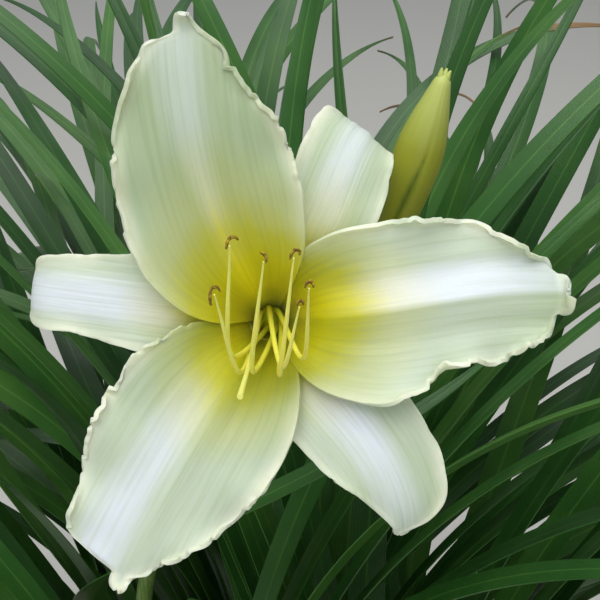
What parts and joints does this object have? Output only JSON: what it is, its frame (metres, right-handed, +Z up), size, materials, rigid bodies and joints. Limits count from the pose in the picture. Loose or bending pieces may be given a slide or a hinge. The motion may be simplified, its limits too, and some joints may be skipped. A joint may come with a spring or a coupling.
{
  "type": "daylily plant",
  "caption": "Potted daylily: fans of long arching strap leaves and one leafless scape with a wide open six-tepalled bloom and buds, in a plain round clay pot.",
  "frame": {"origin": "centre of the pot's flat base, on the surface it stands on", "axes": "+Z up out of the pot; the bloom faces -Y and upwards; +X is to the bloom's left as it faces"},
  "size_m": [0.8944, 0.7949, 0.7863],
  "materials": {
    "clay": "matte",
    "soil": "matte",
    "leaf": "satin",
    "scape": "satin",
    "bud": "satin",
    "tepal": "satin",
    "stamen": "satin"
  },
  "bodies": {
    "root": {"clay_pot": "clay", "potting_soil": "soil", "leaf_fan_1": "leaf", "leaf_fan_2": "leaf", "leaf_fan_3": "leaf", "leaf_fan_4": "leaf", "leaf_fan_5": "leaf", "leaf_fan_6": "leaf", "scape": "scape", "bud_opening": "bud", "bud_young_1": "bud", "bud_young_2": "bud", "bloom_tepals": "tepal", "bloom_stamens": "stamen"}
  },
  "joints": []
}
